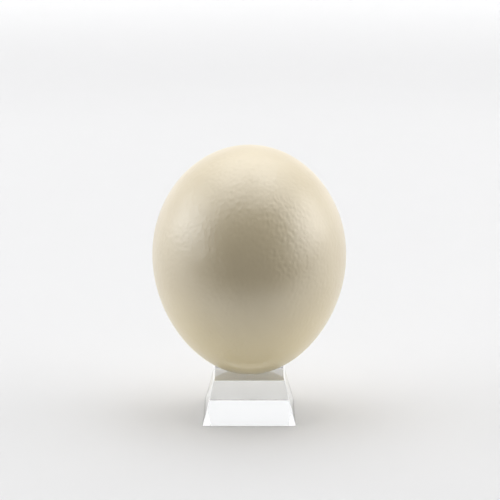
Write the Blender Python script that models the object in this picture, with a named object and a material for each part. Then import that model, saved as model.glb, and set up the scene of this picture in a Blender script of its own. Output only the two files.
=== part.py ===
"""Ostrich egg standing on a clear acrylic block, in metres, +Z up.

The origin is the middle of the block's underside, so the piece stands on z = 0. The egg is one natural
solid with its blunt end up. The block is a four-sided pyramid with its top cut off flat, and a shallow
dish ground into that top holds the egg's narrow end.
"""

import math

import bmesh
import bpy

# The egg
EGG_HEIGHT = 0.150
EGG_RADIUS = 0.0626  # half-way up
BLUNTNESS = 0.053  # how much fuller the upper half is than the lower half
TAPER = 0.040  # how much both ends draw in from a plain ellipse
EGG_SEGMENTS = 64
EGG_RINGS = 40

# The block
BASE_WIDTH = 0.060
TOP_WIDTH = 0.045
BLOCK_HEIGHT = 0.028
EDGE_EASE = 0.0004  # the small chamfer along every edge

# The seat
SEAT_DEPTH = 0.00075  # the egg's lowest point lies this far below the block's top
SEAT_GAP = 0.0003  # the space left between the dish and the egg

EGG_BOTTOM = BLOCK_HEIGHT - SEAT_DEPTH

SHELL_COLOUR = (0.78, 0.66, 0.44, 1.0)
SHELL_ROUGHNESS = 0.30
SHELL_IOR = 1.52
ACRYLIC_COLOUR = (0.97, 0.98, 0.98, 1.0)
ACRYLIC_ROUGHNESS = 0.02
ACRYLIC_IOR = 1.49


def clear_scene():
    """Removes every object, so that only this model is left."""
    for old in list(bpy.data.objects):
        bpy.data.objects.remove(old, do_unlink=True)


def material(name, colour, roughness, ior, transmission=0.0):
    """A Principled material with plain values."""
    finish = bpy.data.materials.new(name)
    finish.use_nodes = True
    shader = finish.node_tree.nodes["Principled BSDF"]
    shader.inputs["Base Color"].default_value = colour
    shader.inputs["Metallic"].default_value = 0.0
    shader.inputs["Roughness"].default_value = roughness
    shader.inputs["IOR"].default_value = ior
    shader.inputs["Transmission Weight"].default_value = transmission
    return finish


def outline_point(turn, grow):
    """The radius and height of the egg's outline, turn radians down from its top, moved out by grow."""
    swell = 1 + BLUNTNESS * math.cos(turn) - TAPER * math.cos(turn) ** 2
    radius = EGG_RADIUS * math.sin(turn) * swell
    height = EGG_HEIGHT / 2 * (1 + math.cos(turn))
    run = EGG_RADIUS * (
        math.cos(turn) * swell
        - math.sin(turn) ** 2 * (BLUNTNESS - 2 * TAPER * math.cos(turn))
    )
    drop = EGG_HEIGHT / 2 * math.sin(turn)
    slope = math.hypot(run, drop)
    return radius + grow * drop / slope, height + grow * run / slope


def egg_mesh(name, grow=0.0):
    """The egg's closed skin, standing on its narrow end at z = 0, with every point moved out by grow."""
    shape = bmesh.new()
    rings = []
    for ring in range(1, EGG_RINGS):
        radius, height = outline_point(math.pi * ring / EGG_RINGS, grow)
        angles = [2 * math.pi * step / EGG_SEGMENTS for step in range(EGG_SEGMENTS)]
        rings.append(
            [shape.verts.new((radius * math.cos(a), radius * math.sin(a), height)) for a in angles]
        )
    top = shape.verts.new((0, 0, EGG_HEIGHT + grow))
    bottom = shape.verts.new((0, 0, -grow))
    for step in range(EGG_SEGMENTS):
        after = (step + 1) % EGG_SEGMENTS
        shape.faces.new((top, rings[0][step], rings[0][after]))
        shape.faces.new((bottom, rings[-1][after], rings[-1][step]))
        for upper, lower in zip(rings, rings[1:]):
            shape.faces.new((upper[step], lower[step], lower[after], upper[after]))
    mesh = bpy.data.meshes.new(name)
    shape.to_mesh(mesh)
    shape.free()
    mesh.shade_smooth()
    return mesh


def placed(name, mesh, height=0.0):
    """An object for the mesh, standing at the given height on the axis."""
    thing = bpy.data.objects.new(name, mesh)
    thing.location.z = height
    bpy.context.collection.objects.link(thing)
    return thing


def make_egg():
    """The egg, narrow end down in the block's dish."""
    mesh = egg_mesh("egg")
    mesh.materials.append(material("eggshell", SHELL_COLOUR, SHELL_ROUGHNESS, SHELL_IOR))
    return placed("egg", mesh, EGG_BOTTOM)


def make_seat_cutter():
    """The shape that the dish is ground to: the egg itself, larger all over by the gap."""
    cutter = placed("seat_cutter", egg_mesh("seat_cutter", SEAT_GAP), EGG_BOTTOM)
    cutter.hide_render = True
    cutter.display_type = "WIRE"
    return cutter


def make_stand(cutter):
    """The acrylic block: a pyramid cut off flat, with eased edges and the dish in its top."""
    shape = bmesh.new()
    bmesh.ops.create_cube(shape, size=1.0)
    for corner in shape.verts:
        upper = corner.co.z > 0
        half = (TOP_WIDTH if upper else BASE_WIDTH) / 2
        corner.co.x = math.copysign(half, corner.co.x)
        corner.co.y = math.copysign(half, corner.co.y)
        corner.co.z = BLOCK_HEIGHT if upper else 0.0
    mesh = bpy.data.meshes.new("stand")
    shape.to_mesh(mesh)
    shape.free()
    mesh.materials.append(
        material("clear_acrylic", ACRYLIC_COLOUR, ACRYLIC_ROUGHNESS, ACRYLIC_IOR, transmission=1.0)
    )
    stand = placed("stand", mesh)

    edges = stand.modifiers.new("eased edges", "BEVEL")
    edges.width = EDGE_EASE
    edges.segments = 1
    edges.limit_method = "NONE"

    dish = stand.modifiers.new("seat dish", "BOOLEAN")
    dish.operation = "DIFFERENCE"
    dish.solver = "EXACT"
    dish.object = cutter
    return stand


def main():
    """Builds the egg and the block that it stands on."""
    clear_scene()
    make_egg()
    make_stand(make_seat_cutter())


main()
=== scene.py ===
"""Looks of an ostrich egg standing on a clear acrylic block, in a white studio.

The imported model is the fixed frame. The egg's pored shell and the polished block are built around it as
fine meshes, and the floor, the lamps and the camera make the studio.
"""

from __future__ import annotations

import logging
import math
from dataclasses import dataclass, field
from enum import Enum
from typing import Any, Callable, Union

import bmesh
import bpy
from mathutils import Matrix, Vector

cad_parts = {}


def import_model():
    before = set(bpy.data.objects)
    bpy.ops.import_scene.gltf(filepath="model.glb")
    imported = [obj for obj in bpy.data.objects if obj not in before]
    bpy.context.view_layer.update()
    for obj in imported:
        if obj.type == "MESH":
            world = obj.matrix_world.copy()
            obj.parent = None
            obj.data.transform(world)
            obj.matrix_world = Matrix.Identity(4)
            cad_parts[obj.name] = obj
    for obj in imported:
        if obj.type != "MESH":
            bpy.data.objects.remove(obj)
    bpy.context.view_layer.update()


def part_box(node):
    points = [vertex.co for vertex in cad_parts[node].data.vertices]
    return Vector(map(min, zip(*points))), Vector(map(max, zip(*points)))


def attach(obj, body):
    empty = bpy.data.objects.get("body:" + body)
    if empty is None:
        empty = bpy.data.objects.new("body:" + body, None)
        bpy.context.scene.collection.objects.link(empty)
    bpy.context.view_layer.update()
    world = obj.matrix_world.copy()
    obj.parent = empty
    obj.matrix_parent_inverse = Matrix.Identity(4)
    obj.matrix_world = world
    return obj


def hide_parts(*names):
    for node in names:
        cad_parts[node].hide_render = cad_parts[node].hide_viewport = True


LOG = logging.getLogger("ostrich_egg")
MM = 0.001
OUTLINE_STEPS = 720
HALVINGS = 60

Colour = tuple[float, float, float]
Value = Union[float, tuple, str, bool, int, "Signal", Any]


class Part(Enum):
    """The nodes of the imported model."""

    EGG = "egg"
    STAND = "stand"


class Slot(Enum):
    """The record's material slots."""

    EGGSHELL = "eggshell"
    ACRYLIC = "clear_acrylic"


# ---------------------------------------------------------------------------------------------------------
# Nodes
# ---------------------------------------------------------------------------------------------------------


class Signal:
    """An output socket that Python's arithmetic can be written on."""

    def __init__(self, desk: NodeDesk, socket: bpy.types.NodeSocket) -> None:
        """Wraps a socket.

        Args:
            desk: The desk whose tree the socket is in.
            socket: The output socket.
        """
        self.desk = desk
        self.socket = socket

    def __add__(self, other: Value) -> Signal:
        """The sum."""
        return self.desk.maths("ADD", self, other)

    __radd__ = __add__

    def __sub__(self, other: Value) -> Signal:
        """The difference."""
        return self.desk.maths("SUBTRACT", self, other)

    def __rsub__(self, other: Value) -> Signal:
        """The difference, with this signal taken off."""
        return self.desk.maths("SUBTRACT", other, self)

    def __mul__(self, other: Value) -> Signal:
        """The product."""
        return self.desk.maths("MULTIPLY", self, other)

    __rmul__ = __mul__

    def __truediv__(self, other: Value) -> Signal:
        """The quotient."""
        return self.desk.maths("DIVIDE", self, other)

    def __rtruediv__(self, other: Value) -> Signal:
        """The quotient, with this signal below."""
        return self.desk.maths("DIVIDE", other, self)

    def __pow__(self, other: Value) -> Signal:
        """The power."""
        return self.desk.maths("POWER", self, other)

    def __neg__(self) -> Signal:
        """The opposite."""
        return self.desk.maths("MULTIPLY", self, -1.0)

    def eased(self, low: float, high: float, start: float = 0.0, end: float = 1.0) -> Signal:
        """Maps low..high to start..end with soft ends, and holds the ends outside it.

        Args:
            low: The value that gives start.
            high: The value that gives end.
            start: The result at low.
            end: The result at high.

        Returns:
            The mapped signal.
        """
        return self.desk.signal(
            "ShaderNodeMapRange",
            {"interpolation_type": "SMOOTHSTEP"},
            {"Value": self, "From Min": low, "From Max": high, "To Min": start, "To Max": end},
            "Result",
        )


class NodeDesk:
    """Adds and joins the nodes of one tree."""

    def __init__(self, tree: bpy.types.NodeTree) -> None:
        """Opens a tree.

        Args:
            tree: A shader tree or a Geometry Nodes tree.
        """
        self.tree = tree

    def node(
        self,
        kind: str,
        settings: dict[str, Any] | None = None,
        sockets: dict[str | int, Value] | None = None,
    ) -> bpy.types.Node:
        """Adds one node.

        Args:
            kind: The node's type name.
            settings: Its properties, such as a Math node's operation, which are set first.
            sockets: What its inputs hold or are linked to, by name or number.

        Returns:
            The node.
        """
        made = self.tree.nodes.new(kind)
        for name, value in (settings or {}).items():
            setattr(made, name, value)
        for key, value in (sockets or {}).items():
            if isinstance(value, Signal):
                self.tree.links.new(value.socket, made.inputs[key])
            else:
                made.inputs[key].default_value = value
        return made

    def signal(
        self,
        kind: str,
        settings: dict[str, Any] | None = None,
        sockets: dict[str | int, Value] | None = None,
        output: str | int = 0,
    ) -> Signal:
        """Adds one node and returns one of its outputs.

        Args:
            kind: The node's type name.
            settings: Its properties.
            sockets: Its inputs.
            output: The output's name or number.

        Returns:
            That output.
        """
        return Signal(self, self.node(kind, settings, sockets).outputs[output])

    def maths(self, operation: str, *values: Value) -> Signal:
        """A Math node on numbers.

        Args:
            operation: The node's operation.
            *values: Its inputs, in order.

        Returns:
            Its result.
        """
        return self.signal("ShaderNodeMath", {"operation": operation}, dict(enumerate(values)))

    def vector(self, operation: str, *values: Value, scale: Value | None = None) -> Signal:
        """A Vector Math node.

        Args:
            operation: The node's operation.
            *values: Its vector inputs, in order.
            scale: The factor of a SCALE.

        Returns:
            Its vector result.
        """
        sockets: dict[str | int, Value] = dict(enumerate(values))
        if scale is not None:
            sockets["Scale"] = scale
        return self.signal("ShaderNodeVectorMath", {"operation": operation}, sockets, "Vector")

    def mixed(self, share: Value, first: Value, second: Value, blend: str = "MIX") -> Signal:
        """A mix of two colours.

        Args:
            share: How much of the second, from 0 to 1.
            first: A colour signal, or four numbers.
            second: A colour signal, or four numbers.
            blend: The way of mixing.

        Returns:
            The mixed colour.
        """
        mix = self.node("ShaderNodeMix", {"data_type": "RGBA", "blend_type": blend})
        for number, value in ((0, share), (6, first), (7, second)):
            if isinstance(value, Signal):
                self.tree.links.new(value.socket, mix.inputs[number])
            else:
                mix.inputs[number].default_value = value
        return Signal(self, mix.outputs[2])


def soft_noise(desk: NodeDesk, place: Signal, size: Signal, seed: Signal, detail: float) -> Signal:
    """A soft noise from 0 to 1.

    Args:
        desk: The tree's desk.
        place: Where it is read.
        size: The width of its lumps.
        seed: What makes it differ from another noise.
        detail: How many finer noises are laid on it.

    Returns:
        The noise.
    """
    return desk.signal(
        "ShaderNodeTexNoise",
        {"noise_dimensions": "4D"},
        {"Vector": place, "W": seed, "Scale": 1 / size, "Detail": detail},
    )


def new_material(name: str) -> tuple[bpy.types.Material, NodeDesk]:
    """Makes an empty node material.

    Args:
        name: The material's name.

    Returns:
        The material and a desk on its tree.
    """
    material = bpy.data.materials.new(name)
    material.use_nodes = True
    material.node_tree.nodes.clear()
    return material, NodeDesk(material.node_tree)


# ---------------------------------------------------------------------------------------------------------
# Finishes
# ---------------------------------------------------------------------------------------------------------


@dataclass(frozen=True)
class ShellFinish:
    """A waxy cream eggshell with fine pores, slightly mottled, with painted bounce light towards its narrow
    end.

    The painted bounce light is a lighter, warmer tone that stands in for light from the floor and the block
    below;
    it is full below the first height and gone above the second.
    """

    pale: Colour = (0.770, 0.655, 0.434)
    deep: Colour = (0.740, 0.623, 0.404)
    # Painted bounce light: the lighter, warmer tone of the lower end, in place of light from below
    painted_bounce: Colour = (0.850, 0.708, 0.390)
    pore: Colour = (0.640, 0.510, 0.290)
    roughness: float = 0.40
    roughness_spread: float = 0.06
    ior: float = 2.2
    wax: float = 0.8
    wax_roughness: float = 0.34
    wax_ior: float = 1.5
    mottle_size: float = 26 * MM
    mottle_detail: float = 4.0
    mottle_harshness: float = 0.55
    mottle_low: float = 0.32
    mottle_high: float = 0.68
    pore_spacing: float = 1.9 * MM
    pore_radius: float = 0.24 * MM
    pore_core: float = 0.35
    pore_depth: float = 0.05 * MM
    pore_darkness: float = 0.55
    pore_dullness: float = 0.2
    grain_size: float = 0.55 * MM
    grain_detail: float = 2.0
    grain_depth: float = 0.006 * MM
    painted_bounce_below: float = 35 * MM
    painted_bounce_above: float = 110 * MM

    def make(self) -> bpy.types.Material:
        """The shell's material.

        Returns:
            The material, on Object coordinates.
        """
        material, desk = new_material("eggshell")
        place = desk.signal("ShaderNodeTexCoord", output="Object")

        mottle = desk.signal(
            "ShaderNodeTexNoise",
            {"noise_dimensions": "3D"},
            {
                "Vector": place,
                "Scale": 1 / self.mottle_size,
                "Detail": self.mottle_detail,
                "Roughness": self.mottle_harshness,
            },
        )
        pores = self._pores(desk, place)
        grain = desk.signal(
            "ShaderNodeTexNoise",
            {"noise_dimensions": "3D"},
            {"Vector": place, "Scale": 1 / self.grain_size, "Detail": self.grain_detail},
        )

        height = desk.signal("ShaderNodeSeparateXYZ", sockets={0: place}, output="Z")
        # Painted bounce light: the lower end gets a lighter, warmer tone in place of light from the floor
        # and the block
        painted_bounce = height.eased(self.painted_bounce_below, self.painted_bounce_above, 1.0, 0.0)
        patches = mottle.eased(self.mottle_low, self.mottle_high)
        ground = desk.mixed(patches, (*self.pale, 1.0), (*self.deep, 1.0))
        ground = desk.mixed(painted_bounce, ground, (*self.painted_bounce, 1.0))
        colour = desk.mixed(pores * self.pore_darkness, ground, (*self.pore, 1.0))
        relief = grain * (self.grain_depth / self.pore_depth) - pores
        bump = desk.signal(
            "ShaderNodeBump",
            sockets={"Strength": 1.0, "Distance": self.pore_depth, "Height": relief},
            output="Normal",
        )
        roughness = self.roughness + (mottle - 0.5) * self.roughness_spread
        roughness = roughness + pores * self.pore_dullness
        shader = desk.signal(
            "ShaderNodeBsdfPrincipled",
            sockets={
                "Base Color": colour,
                "Roughness": roughness,
                "IOR": self.ior,
                "Coat Weight": self.wax,
                "Coat Roughness": self.wax_roughness,
                "Coat IOR": self.wax_ior,
                "Normal": bump,
            },
        )
        desk.node("ShaderNodeOutputMaterial", sockets={"Surface": shader})
        return material

    def _pores(self, desk: NodeDesk, place: Signal) -> Signal:
        """The pore openings.

        Args:
            desk: The material's desk.
            place: Object coordinates.

        Returns:
            1 in a pore and 0 outside, with soft sides.
        """
        nearest = desk.signal(
            "ShaderNodeTexVoronoi",
            {"feature": "F1"},
            {"Vector": place, "Scale": 1 / self.pore_spacing, "Randomness": 1.0},
            "Distance",
        )
        reach = self.pore_radius / self.pore_spacing
        return nearest.eased(reach * self.pore_core, reach, 1.0, 0.0)


@dataclass(frozen=True)
class AcrylicFinish:
    """Polished clear acrylic, with the faint waviness and wipe marks of a polished block."""

    tint: Colour = (1.0, 1.0, 1.0)
    ior: float = 1.49
    roughness: float = 0.004
    roughness_spread: float = 0.02
    absorbed: Colour = (0.86, 0.94, 0.93)
    absorption: float = 2.0
    wave_size: float = 14 * MM
    wave_height: float = 0.0008 * MM
    wave_detail: float = 1.0
    smudge_size: float = 9 * MM
    smudge_detail: float = 3.0
    smudge_swirl: float = 0.6
    smudge_low: float = 0.5
    smudge_high: float = 0.8

    def make(self) -> bpy.types.Material:
        """The block's material.

        Returns:
            The material, on Object coordinates.
        """
        material, desk = new_material("clear_acrylic")
        place = desk.signal("ShaderNodeTexCoord", output="Object")
        wave = desk.signal(
            "ShaderNodeTexNoise",
            sockets={"Vector": place, "Scale": 1 / self.wave_size, "Detail": self.wave_detail},
        )
        smudge = desk.signal(
            "ShaderNodeTexNoise",
            sockets={
                "Vector": place,
                "Scale": 1 / self.smudge_size,
                "Detail": self.smudge_detail,
                "Distortion": self.smudge_swirl,
            },
        )
        bump = desk.signal(
            "ShaderNodeBump",
            sockets={"Strength": 1.0, "Distance": self.wave_height, "Height": wave},
            output="Normal",
        )
        smudged = smudge.eased(self.smudge_low, self.smudge_high)
        roughness = self.roughness + smudged * self.roughness_spread
        shader = desk.signal(
            "ShaderNodeBsdfPrincipled",
            sockets={
                "Base Color": (*self.tint, 1.0),
                "Roughness": roughness,
                "IOR": self.ior,
                "Transmission Weight": 1.0,
                "Normal": bump,
            },
        )
        volume = desk.signal(
            "ShaderNodeVolumeAbsorption",
            sockets={"Color": (*self.absorbed, 1.0), "Density": self.absorption},
        )
        desk.node("ShaderNodeOutputMaterial", sockets={"Surface": shader, "Volume": volume})
        return material


@dataclass(frozen=True)
class PaperFinish:
    """The studio's matte white paper, with painted light and shade: it glows a little as if lit from
    behind, though it is no lamp, and its floor is painted darker than its wall.

    The floor's share of the glow grows from near_share to far_share between two distances from the egg.
    The wall glows fully from glow_full up to glow_fade, and above glow_end it has top_share left.
    """

    # Painted shade: the floor is a darker copy of the wall's white paper
    floor: Colour = (0.695, 0.695, 0.699)
    wall: Colour = (0.838, 0.838, 0.842)
    cloud: Colour = (0.990, 0.990, 0.990)
    cloud_size: float = 60 * MM
    cloud_detail: float = 3.0
    roughness: float = 0.9
    sheen: float = 0.1
    # Painted light: the paper glows, though it is no lamp
    glow: float = 0.32
    near_share: float = 0.19
    far_share: float = 0.38
    near: float = 0.5
    far: float = 1.5
    glow_full: float = 0.25
    glow_fade: float = 0.45
    glow_end: float = 0.95
    top_share: float = 0.40

    def make(self) -> bpy.types.Material:
        """The paper's material.

        Returns:
            The material.
        """
        material, desk = new_material("studio_paper")
        place = desk.signal("ShaderNodeTexCoord", output="Object")
        cloud = desk.signal(
            "ShaderNodeTexNoise",
            sockets={"Vector": place, "Scale": 1 / self.cloud_size, "Detail": self.cloud_detail},
        )
        spot = desk.node("ShaderNodeSeparateXYZ", sockets={0: place})
        side, front, height = (Signal(desk, socket) for socket in spot.outputs)
        away = (side * side + front * front) ** 0.5
        rise = height.eased(0.0, self.glow_full)
        # Painted shade: the floor gets the darker copy of the paper, the wall the lighter one
        paper = desk.mixed(rise, (*self.floor, 1.0), (*self.wall, 1.0))
        colour = desk.mixed(cloud, paper, (*self.cloud, 1.0), "MULTIPLY")
        # Painted light: how much the paper glows, less near the egg and fading high on the wall
        lit = away.eased(self.near, self.far, self.near_share, self.far_share)
        lit = lit + (1 - lit) * rise
        lit = lit * height.eased(self.glow_fade, self.glow_end, 1.0, self.top_share)
        shader = desk.signal(
            "ShaderNodeBsdfPrincipled",
            sockets={
                "Base Color": colour,
                "Roughness": self.roughness,
                "Specular IOR Level": self.sheen,
                "Emission Color": desk.mixed(lit, (0.0, 0.0, 0.0, 1.0), (1.0, 1.0, 1.0, 1.0)),
                "Emission Strength": self.glow,
            },
        )
        desk.node("ShaderNodeOutputMaterial", sockets={"Surface": shader})
        return material


@dataclass(frozen=True)
class BlackFinish:
    """Black cloth, which gives back almost no light. It is clear from behind."""

    black: Colour = (0.01, 0.01, 0.01)

    def make(self) -> bpy.types.Material:
        """The cloth's material.

        Returns:
            The material.
        """
        material, desk = new_material("black_cloth")
        cloth = desk.signal("ShaderNodeBsdfDiffuse", sockets={"Color": (*self.black, 1.0)})
        clear = desk.signal("ShaderNodeBsdfTransparent")
        behind = desk.signal("ShaderNodeNewGeometry", output="Backfacing")
        shader = desk.signal("ShaderNodeMixShader", sockets={0: behind, 1: cloth, 2: clear})
        desk.node("ShaderNodeOutputMaterial", sockets={"Surface": shader})
        return material


# ---------------------------------------------------------------------------------------------------------
# The egg
# ---------------------------------------------------------------------------------------------------------


@dataclass(frozen=True)
class EggOutline:
    """The egg's half outline, as a formula."""

    radius: float
    height: float
    foot: float
    bluntness: float = 0.053
    taper: float = 0.040

    @classmethod
    def within(cls, low: Vector, high: Vector) -> EggOutline:
        """The outline that fills a box.

        Args:
            low: The box's lowest corner.
            high: The box's highest corner.

        Returns:
            The outline.
        """
        turns = [math.pi * step / OUTLINE_STEPS for step in range(OUTLINE_STEPS + 1)]
        widest = max(cls(1.0, 1.0, 0.0).point(turn)[0] for turn in turns)
        return cls(high.x / widest, high.z - low.z, low.z)

    def point(self, turn: float, grow: float = 0.0) -> tuple[float, float]:
        """A point on the outline.

        Args:
            turn: The turn from the top, in radians.
            grow: How far the point is moved straight out.

        Returns:
            Its distance from the axis and its height.
        """
        swell = 1 + self.bluntness * math.cos(turn) - self.taper * math.cos(turn) ** 2
        lean = self.bluntness - 2 * self.taper * math.cos(turn)
        run = self.radius * (math.cos(turn) * swell - math.sin(turn) ** 2 * lean)
        drop = self.height / 2 * math.sin(turn)
        slope = math.hypot(run, drop)
        across = self.radius * math.sin(turn) * swell + grow * drop / slope
        up = self.foot + self.height / 2 * (1 + math.cos(turn)) + grow * run / slope
        return across, up


@dataclass
class OstrichEgg:
    """The egg: one ovoid shell whose pits and ripples are real relief, made by Geometry Nodes."""

    outline: EggOutline
    faces_a_side: int = 125
    pit_spacing: float = 4.2 * MM
    pit_radius: float = 1.4 * MM
    pit_depth: float = 0.10 * MM
    pit_softness: float = 0.3
    ripple_size: float = 1.9 * MM
    ripple_depth: float = 0.36 * MM
    swell_size: float = 15 * MM
    swell_depth: float = 0.20 * MM
    seed: float = 7.0
    ripple_shift: float = 0.0
    swell_shift: float = 3.0
    finish: ShellFinish = field(default_factory=ShellFinish)

    def build(self) -> bpy.types.Object:
        """Makes the shell as a plain mesh.

        Returns:
            The shell's object, at the origin.
        """
        material = self.finish.make()
        tree, inputs = self._tree(material)
        blank = bpy.data.objects.new("shell_blank", bpy.data.meshes.new("shell_blank"))
        bpy.context.scene.collection.objects.link(blank)
        grower = blank.modifiers.new("shell", "NODES")
        grower.node_group = tree
        for name, value in inputs.items():
            grower[tree.interface.items_tree[name].identifier] = value
        mesh = plain_mesh(blank, "egg_shell")
        bpy.data.objects.remove(blank)
        return new_object("egg_shell", mesh)

    def _tree(self, material: bpy.types.Material) -> tuple[bpy.types.NodeTree, dict[str, Any]]:
        """Builds the Geometry Nodes tree.

        Args:
            material: What the shell wears.

        Returns:
            The tree and the values of its named inputs.
        """
        sizes: dict[str, Any] = {
            "Radius": self.outline.radius,
            "Height": self.outline.height,
            "Foot": self.outline.foot,
            "Bluntness": self.outline.bluntness,
            "Taper": self.outline.taper,
            "Pit Spacing": self.pit_spacing,
            "Pit Radius": self.pit_radius,
            "Pit Depth": self.pit_depth,
            "Ripple Size": self.ripple_size,
            "Ripple Depth": self.ripple_depth,
            "Swell Size": self.swell_size,
            "Swell Depth": self.swell_depth,
            "Seed": self.seed,
        }
        tree = bpy.data.node_groups.new("ostrich_shell", "GeometryNodeTree")
        for name in sizes:
            tree.interface.new_socket(name, in_out="INPUT", socket_type="NodeSocketFloat")
        tree.interface.new_socket("Faces", in_out="INPUT", socket_type="NodeSocketInt")
        tree.interface.new_socket("Material", in_out="INPUT", socket_type="NodeSocketMaterial")
        tree.interface.new_socket("Shell", in_out="OUTPUT", socket_type="NodeSocketGeometry")
        desk = NodeDesk(tree)
        entry = desk.node("NodeGroupInput")
        given = {socket.name: Signal(desk, socket) for socket in entry.outputs if socket.name}

        corners = given["Faces"] + 1
        cube = desk.signal(
            "GeometryNodeMeshCube",
            sockets={
                "Size": (2.0, 2.0, 2.0),
                "Vertices X": corners,
                "Vertices Y": corners,
                "Vertices Z": corners,
            },
            output="Mesh",
        )
        ovoid = desk.signal(
            "GeometryNodeSetPosition",
            sockets={"Geometry": cube, "Position": self._ovoid(desk, given)},
            output="Geometry",
        )
        depth = self._relief(desk, given)
        normal = desk.signal("GeometryNodeInputNormal", output="Normal")
        pressed = desk.signal(
            "GeometryNodeSetPosition",
            sockets={"Geometry": ovoid, "Offset": desk.vector("SCALE", normal, scale=-depth)},
            output="Geometry",
        )
        smooth = desk.signal("GeometryNodeSetShadeSmooth", sockets={"Geometry": pressed}, output="Geometry")
        whole = desk.signal("GeometryNodeRealizeInstances", sockets={"Geometry": smooth}, output="Geometry")
        worn = desk.signal(
            "GeometryNodeSetMaterial",
            sockets={"Geometry": whole, "Material": given["Material"]},
            output="Geometry",
        )
        desk.node("NodeGroupOutput", sockets={"Shell": worn})
        return tree, sizes | {"Faces": self.faces_a_side, "Material": material}

    @staticmethod
    def _ovoid(desk: NodeDesk, given: dict[str, Signal]) -> Signal:
        """Where each point of the cube goes on the plain ovoid.

        Args:
            desk: The tree's desk.
            given: The tree's inputs.

        Returns:
            The place on the ovoid.
        """
        cube = desk.signal("GeometryNodeInputPosition", output="Position")
        even = desk.vector("TANGENT", desk.vector("SCALE", cube, scale=math.pi / 4))
        ball = desk.node("ShaderNodeSeparateXYZ", sockets={0: desk.vector("NORMALIZE", even)})
        side, front, up = (Signal(desk, socket) for socket in ball.outputs)
        wide = given["Radius"] * (1 + given["Bluntness"] * up - given["Taper"] * up * up)
        height = given["Foot"] + given["Height"] * (0.5 + 0.5 * up)
        return desk.signal("ShaderNodeCombineXYZ", sockets={0: side * wide, 1: front * wide, 2: height})

    def _relief(self, desk: NodeDesk, given: dict[str, Signal]) -> Signal:
        """How deep the shell's pits and ripples lie under the plain ovoid.

        Args:
            desk: The tree's desk.
            given: The tree's inputs.

        Returns:
            The depth in metres, never below 0.
        """
        place = desk.signal("GeometryNodeInputPosition", output="Position")
        seed = given["Seed"]
        ripple = soft_noise(desk, place, given["Ripple Size"], seed + self.ripple_shift, detail=1.0)
        swell = soft_noise(desk, place, given["Swell Size"], seed + self.swell_shift, detail=0.0)
        nearest = desk.signal(
            "ShaderNodeTexVoronoi",
            {"voronoi_dimensions": "4D", "feature": "SMOOTH_F1"},
            {
                "Vector": place,
                "W": seed,
                "Scale": 1 / given["Pit Spacing"],
                "Smoothness": self.pit_softness,
                "Randomness": 1.0,
            },
            "Distance",
        )
        pit = (1 - nearest * given["Pit Spacing"] / given["Pit Radius"]).eased(0.0, 1.0)
        return ripple * given["Ripple Depth"] + swell * given["Swell Depth"] + pit * given["Pit Depth"]


# ---------------------------------------------------------------------------------------------------------
# The block
# ---------------------------------------------------------------------------------------------------------


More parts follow.
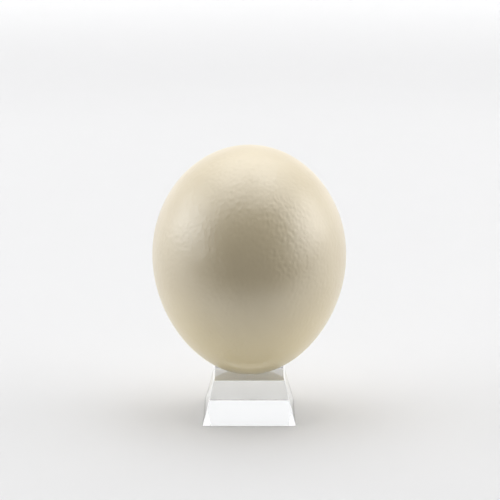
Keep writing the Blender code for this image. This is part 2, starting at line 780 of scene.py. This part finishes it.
@dataclass
class ClearBlock:
    """The acrylic stand: a pyramid cut off flat, with polished round edges and a shallow round dish."""

    low: Vector
    high: Vector
    outline: EggOutline
    top_width: float = 45 * MM
    edge_round: float = 0.35 * MM
    edge_steps: int = 5
    seat_gap: float = 0.05 * MM
    seat_steps: int = 96
    seat_rings: int = 14
    flat_weight: int = 100
    finish: AcrylicFinish = field(default_factory=AcrylicFinish)

    def build(self) -> bpy.types.Object:
        """Makes the block.

        Returns:
            The block's object, at the origin.
        """
        shape = bmesh.new()
        self._add_pyramid(shape)
        self._cut_seat(shape)
        self._fit_box(shape)
        bmesh.ops.recalc_face_normals(shape, faces=shape.faces)
        mesh = bpy.data.meshes.new("block_blank")
        shape.to_mesh(mesh)
        shape.free()
        mesh.shade_smooth()
        mesh.materials.append(self.finish.make())
        blank = new_object("block_blank", mesh)
        flats = blank.modifiers.new("flats stay flat", "WEIGHTED_NORMAL")
        flats.mode = "FACE_AREA"
        flats.weight = self.flat_weight
        flats.keep_sharp = True
        plain = plain_mesh(blank, "clear_block")
        bpy.data.objects.remove(blank)
        return new_object("clear_block", plain)

    def _add_pyramid(self, shape: bmesh.types.BMesh) -> None:
        """Adds the pyramid with its round edges.

        Args:
            shape: The mesh that is built.
        """
        bmesh.ops.create_cube(shape, size=1.0)
        for corner in shape.verts:
            upper = corner.co.z > 0
            half = self.top_width / 2 if upper else self.high.x
            corner.co.x = math.copysign(half, corner.co.x)
            corner.co.y = math.copysign(half, corner.co.y)
            corner.co.z = self.high.z if upper else self.low.z
        bmesh.ops.bevel(
            shape,
            geom=list(shape.edges),
            offset=self.edge_round,
            offset_type="OFFSET",
            segments=self.edge_steps,
            profile=0.5,
            affect="EDGES",
        )

    def _cut_seat(self, shape: bmesh.types.BMesh) -> None:
        """Cuts the dish that the egg's narrow end rests in.

        Args:
            shape: The mesh that is built.
        """
        top = max(shape.faces, key=lambda face: face.calc_center_median().z + face.calc_area())
        border = list(top.edges)
        bmesh.ops.delete(shape, geom=[top], context="FACES_ONLY")
        rim_turn = self._rim_turn()
        rings = []
        for ring in range(self.seat_rings):
            turn = rim_turn + (math.pi - rim_turn) * ring / self.seat_rings
            across, up = self.outline.point(turn, self.seat_gap)
            up = self.high.z if ring == 0 else up
            rings.append([shape.verts.new((*spot, up)) for spot in circle(across, self.seat_steps)])
        pole = shape.verts.new((0, 0, self.outline.foot - self.seat_gap))
        rim = []
        for step in range(self.seat_steps):
            after = (step + 1) % self.seat_steps
            for upper, lower in zip(rings, rings[1:]):
                shape.faces.new((upper[step], upper[after], lower[after], lower[step]))
            shape.faces.new((rings[-1][step], rings[-1][after], pole))
            edge = shape.edges.get((rings[0][step], rings[0][after]))
            edge.smooth = False
            rim.append(edge)
        bmesh.ops.triangle_fill(shape, use_beauty=True, use_dissolve=False, edges=border + rim)

    def _rim_turn(self) -> float:
        """The turn at which the dish meets the flat top, in radians."""
        above, below = math.pi / 2, math.pi
        for _ in range(HALVINGS):
            middle = (above + below) / 2
            if self.outline.point(middle, self.seat_gap)[1] > self.high.z:
                above = middle
            else:
                below = middle
        return (above + below) / 2

    def _fit_box(self, shape: bmesh.types.BMesh) -> None:
        """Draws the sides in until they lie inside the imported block's box.

        Args:
            shape: The mesh that is built.
        """
        reach = max(corner.co.x for corner in shape.verts)
        if reach > self.high.x:
            bmesh.ops.scale(shape, vec=(self.high.x / reach, self.high.x / reach, 1.0), verts=shape.verts)


# ---------------------------------------------------------------------------------------------------------
# The studio
# ---------------------------------------------------------------------------------------------------------


@dataclass(frozen=True)
class Softbox:
    """One soft lamp that points at the egg.

    Its angles are in degrees and its sizes in metres. Its radiance is how bright its face is.
    """

    name: str
    azimuth: float
    elevation: float
    distance: float
    width: float
    height: float
    radiance: float
    tint: Colour = (1.0, 1.0, 1.0)

    def hang(self, aim: Vector) -> bpy.types.Object:
        """Hangs the lamp.

        Args:
            aim: The point that it faces.

        Returns:
            The lamp's object.
        """
        lamp = bpy.data.lights.new(self.name, "AREA")
        lamp.shape = "RECTANGLE"
        lamp.size = self.width
        lamp.size_y = self.height
        lamp.color = self.tint
        lamp.energy = self.radiance * math.pi * self.width * self.height
        thing = bpy.data.objects.new(self.name, lamp)
        thing.matrix_world = looking_at(aim, self.azimuth, self.elevation, self.distance)
        thing.visible_camera = False
        bpy.context.scene.collection.objects.link(thing)
        return thing


@dataclass
class Studio:
    """White paper all round, soft lamps, and black cards in front of the egg that the camera doesn't see.

    The screen stands in front of the egg, and the apron lies on the floor from the screen to near the egg.
    """

    aim: Vector
    floor_drop: float = 0.1 * MM
    floor_middle: float = 0.425
    floor_radius: float = 1.7
    cove_radius: float = 0.9
    wall_top: float = 2.6
    cove_steps: int = 24
    around: int = 128
    room_light: float = 1.215
    screen_distance: float = 1.35
    screen_width: float = 3.3
    screen_foot: float = 0.05
    screen_top: float = 2.0
    apron_start: float = 0.22
    apron_width: float = 3.0
    lamps: tuple[Softbox, ...] = (
        Softbox("left_wall", -90.0, 22.0, 1.9, 1.46, 0.96, 1.44, (0.97, 1.0, 1.04)),
        Softbox("right_wall", 90.0, 22.0, 1.9, 1.46, 0.96, 1.62, (1.02, 1.0, 0.97)),
        Softbox("overhead_left", -90.0, 75.0, 1.3, 0.5, 0.5, 1.0),
        Softbox("overhead_right", 90.0, 75.0, 1.3, 0.5, 0.5, 1.15),
        Softbox("hair_light", 180.0, 65.0, 1.3, 1.0, 0.5, 0.80),
    )
    paper: PaperFinish = field(default_factory=PaperFinish)
    cloth: BlackFinish = field(default_factory=BlackFinish)

    def build(self) -> None:
        """Makes the paper, the screen and the lamps."""
        half = self.screen_width / 2
        across = self.apron_width / 2
        start, far = -self.apron_start, -self.screen_distance
        screen = self._card(
            "black_screen",
            (half, far, self.screen_foot),
            (-half, far, self.screen_foot),
            (-half, far, self.screen_top),
            (half, far, self.screen_top),
        )
        apron = self._card(
            "black_apron",
            (-across, far, self.floor_drop),
            (across, far, self.floor_drop),
            (across, start, self.floor_drop),
            (-across, start, self.floor_drop),
        )
        self._sweep()
        for lamp in self.lamps:
            lamp.hang(self.aim)
        world = bpy.data.worlds.new("studio_air")
        world.use_nodes = True
        sky = world.node_tree.nodes["Background"]
        sky.inputs["Color"].default_value = (1.0, 1.0, 1.0, 1.0)
        sky.inputs["Strength"].default_value = self.room_light
        bpy.context.scene.world = world

    def _sweep(self) -> bpy.types.Object:
        """The paper: a floor whose edge curves up into a wall, turned all round.

        Returns:
            Its object.
        """
        profile = [(0.0, 0.0), (self.floor_middle, 0.0), (self.floor_radius, 0.0)]
        for step in range(1, self.cove_steps + 1):
            turn = math.pi / 2 * step / self.cove_steps
            profile.append(
                (
                    self.floor_radius + self.cove_radius * math.sin(turn),
                    self.cove_radius * (1 - math.cos(turn)),
                )
            )
        profile.append((self.floor_radius + self.cove_radius, self.wall_top))
        shape = bmesh.new()
        centre = shape.verts.new((0, 0, -self.floor_drop))
        rings = [
            [shape.verts.new((*spot, up - self.floor_drop)) for spot in circle(across, self.around)]
            for across, up in profile[1:]
        ]
        for step in range(self.around):
            after = (step + 1) % self.around
            shape.faces.new((centre, rings[0][step], rings[0][after]))
            for inner, outer in zip(rings, rings[1:]):
                shape.faces.new((inner[step], outer[step], outer[after], inner[after]))
        mesh = bpy.data.meshes.new("paper_sweep")
        shape.to_mesh(mesh)
        shape.free()
        mesh.shade_smooth()
        mesh.materials.append(self.paper.make())
        return new_object("paper_sweep", mesh)

    def _card(self, name: str, *corners: tuple[float, float, float]) -> bpy.types.Object:
        """A black card that darkens one side of the egg and the block, and is not seen itself.

        Args:
            name: The card's name.
            *corners: Its corners, counter-clockwise as seen from the side that is black.

        Returns:
            Its object.
        """
        mesh = bpy.data.meshes.new(name)
        mesh.from_pydata(corners, [], [tuple(range(len(corners)))])
        mesh.materials.append(self.cloth.make())
        card = new_object(name, mesh)
        card.visible_camera = False
        card.visible_transmission = False
        return card


@dataclass(frozen=True)
class StudioCamera:
    """A long lens before the egg, a little above it."""

    aim_height: float = 109.0 * MM
    aside: float = 0.50 * MM
    elevation: float = 12.1
    distance: float = 1.15
    lens: float = 128.5
    sensor: float = 36.0
    nearest: float = 0.05
    farthest: float = 20.0

    def set_up(self) -> bpy.types.Object:
        """Makes the scene's camera.

        Returns:
            The camera's object.
        """
        data = bpy.data.cameras.new("camera")
        data.lens = self.lens
        data.sensor_width = self.sensor
        data.clip_start = self.nearest
        data.clip_end = self.farthest
        camera = bpy.data.objects.new("camera", data)
        aim = Vector((self.aside, 0.0, self.aim_height))
        camera.matrix_world = looking_at(aim, 0.0, self.elevation, self.distance)
        bpy.context.scene.collection.objects.link(camera)
        bpy.context.scene.camera = camera
        return camera


# ---------------------------------------------------------------------------------------------------------
# Helpers
# ---------------------------------------------------------------------------------------------------------


def circle(radius: float, steps: int) -> list[tuple[float, float]]:
    """Points evenly round the axis.

    Args:
        radius: Their distance from it.
        steps: How many there are.

    Returns:
        Their x and y.
    """
    turns = [2 * math.pi * step / steps for step in range(steps)]
    return [(radius * math.cos(turn), radius * math.sin(turn)) for turn in turns]


def looking_at(aim: Vector, azimuth: float, elevation: float, distance: float) -> Matrix:
    """The place and turn of a thing that faces a point.

    Args:
        aim: The point that it faces.
        azimuth: Degrees round from the front, towards +X.
        elevation: Degrees up from level.
        distance: How far it is from the point.

    Returns:
        Its world matrix.
    """
    round_z = math.radians(azimuth)
    up = math.radians(elevation)
    away = Vector((math.sin(round_z) * math.cos(up), -math.cos(round_z) * math.cos(up), math.sin(up)))
    turn = Matrix.Rotation(round_z, 4, "Z") @ Matrix.Rotation(math.pi / 2 - up, 4, "X")
    return Matrix.Translation(aim + away * distance) @ turn


def new_object(name: str, mesh: bpy.types.Mesh) -> bpy.types.Object:
    """Puts a mesh into the scene at the origin.

    Args:
        name: The object's name.
        mesh: Its mesh.

    Returns:
        The object.
    """
    thing = bpy.data.objects.new(name, mesh)
    bpy.context.scene.collection.objects.link(thing)
    return thing


def plain_mesh(thing: bpy.types.Object, name: str) -> bpy.types.Mesh:
    """What an object's modifiers make of it, as a mesh with no modifiers.

    Args:
        thing: An object in the scene.
        name: The new mesh's name.

    Returns:
        The mesh.
    """
    graph = bpy.context.evaluated_depsgraph_get()
    mesh = bpy.data.meshes.new_from_object(thing.evaluated_get(graph), depsgraph=graph)
    mesh.name = name
    return mesh


def report(make: Callable[[], bpy.types.Object], part: Part) -> bpy.types.Object:
    """Builds one piece, ties it to its node and reports it.

    Args:
        make: What builds the piece.
        part: The node that it stands for.

    Returns:
        The piece.
    """
    piece = make()
    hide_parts(part.value)
    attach(piece, "root")
    LOG.info("%s stands for %s, with %d faces", piece.name, part.value, len(piece.data.polygons))
    return piece


def main() -> None:
    """Builds the egg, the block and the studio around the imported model."""
    logging.basicConfig(level=logging.INFO, format="%(name)s: %(message)s")
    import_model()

    outline = EggOutline.within(*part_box(Part.EGG.value))
    egg = OstrichEgg(outline)
    block = ClearBlock(*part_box(Part.STAND.value), outline)
    report(egg.build, Part.EGG)
    report(block.build, Part.STAND)

    camera = StudioCamera()
    Studio(Vector((0.0, 0.0, camera.aim_height))).build()
    camera.set_up()
    bpy.context.scene.view_settings.view_transform = "Standard"


if __name__ == "__main__":
    main()
